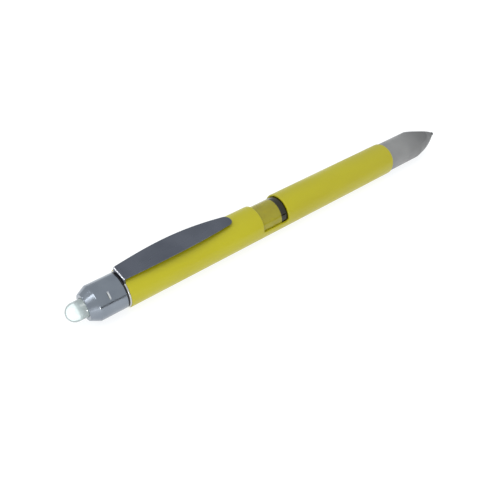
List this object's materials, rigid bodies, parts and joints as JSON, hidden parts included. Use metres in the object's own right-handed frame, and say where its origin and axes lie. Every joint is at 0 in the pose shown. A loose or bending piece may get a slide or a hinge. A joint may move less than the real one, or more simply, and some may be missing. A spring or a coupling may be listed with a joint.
{
  "type": "non contact voltage tester",
  "caption": "Slim pen-shaped voltage tester: torch with screw cap at the tail, spring pocket clip, barrel with a see-through indicator window, and a tapered sensor tip.",
  "frame": {"origin": "on the pen's axis, halfway along its length", "axes": "+X along the pen towards the sensor tip, +Z towards the pocket clip, +Y across the pen"},
  "size_m": [0.1426, 0.0104, 0.0122],
  "materials": {
    "barrel_plastic": "satin moulded yellow",
    "cap_metal": "turned and polished",
    "clip_steel": "dark plated, satin",
    "brass": "bright drawn",
    "black_rubber": "matt",
    "led_clear": "clear cast, lit",
    "led_red": "clear cast red",
    "tinned_wire": "tinned",
    "holder_plastic": "moulded, off-white",
    "board_green": "solder mask",
    "cell_steel": "nickel plated",
    "spring_steel": "drawn wire",
    "window_plastic": "clear tinted olive",
    "black_plastic": "moulded",
    "component_ceramic": "fired",
    "tip_plastic": "satin moulded grey",
    "nib_plastic": "matt dark"
  },
  "bodies": {
    "pen": {"barrel": "barrel_plastic", "front_sleeve": "barrel_plastic", "battery_tube": "brass", "clip_ring": "clip_steel", "cap_seal": "black_rubber", "cell_spring": "spring_steel", "spring_seat": "holder_plastic", "supply_strips": "brass", "window_tube": "window_plastic", "indicator_boot": "black_rubber", "indicator_led": "led_red", "board_carrier": "black_plastic", "circuit_board": "board_green", "detector_chip": "black_plastic", "board_parts": "component_ceramic", "buzzer": "black_plastic", "sensor_wire": "tinned_wire", "sensor_plate": "brass", "sensor_tip": "tip_plastic", "tip_nib": "nib_plastic"},
    "clip": {"pocket_clip": "clip_steel"},
    "lamp": {"torch_led": "led_clear", "led_leads": "tinned_wire", "led_holder": "holder_plastic", "lamp_board": "board_green", "lamp_contact": "brass"},
    "cap": {"torch_cap": "cap_metal"},
    "cells": {"cell_1": "cell_steel", "cell_2": "cell_steel", "cell_3": "cell_steel", "cell_4": "cell_steel"}
  },
  "joints": [
    {"name": "clip_flex", "type": "hinge", "parent": "pen", "child": "clip", "pos_m": [-0.05633, 0, 0.00562], "axis": [0, -1, 0], "range_deg": [0, 4], "stiffness_Nm_per_rad": 2},
    {"name": "lamp_travel", "type": "slide", "parent": "pen", "child": "lamp", "axis": [-1, 0, 0], "range_m": [0, 0.003]},
    {"name": "cap_twist", "type": "hinge", "parent": "lamp", "child": "cap", "pos_m": [-0.0617, 0, 0], "axis": [-1, 0, 0], "range_deg": [0, 1440]},
    {"name": "cell_travel", "type": "slide", "parent": "pen", "child": "cells", "axis": [-1, 0, 0], "range_m": [0, 0.003]}
  ],
  "couplings": [
    {"joint": "cap_twist", "follows": "lamp_travel", "rad_per_m": 8377.6},
    {"joint": "cell_travel", "follows": "lamp_travel", "ratio": 1}
  ]
}
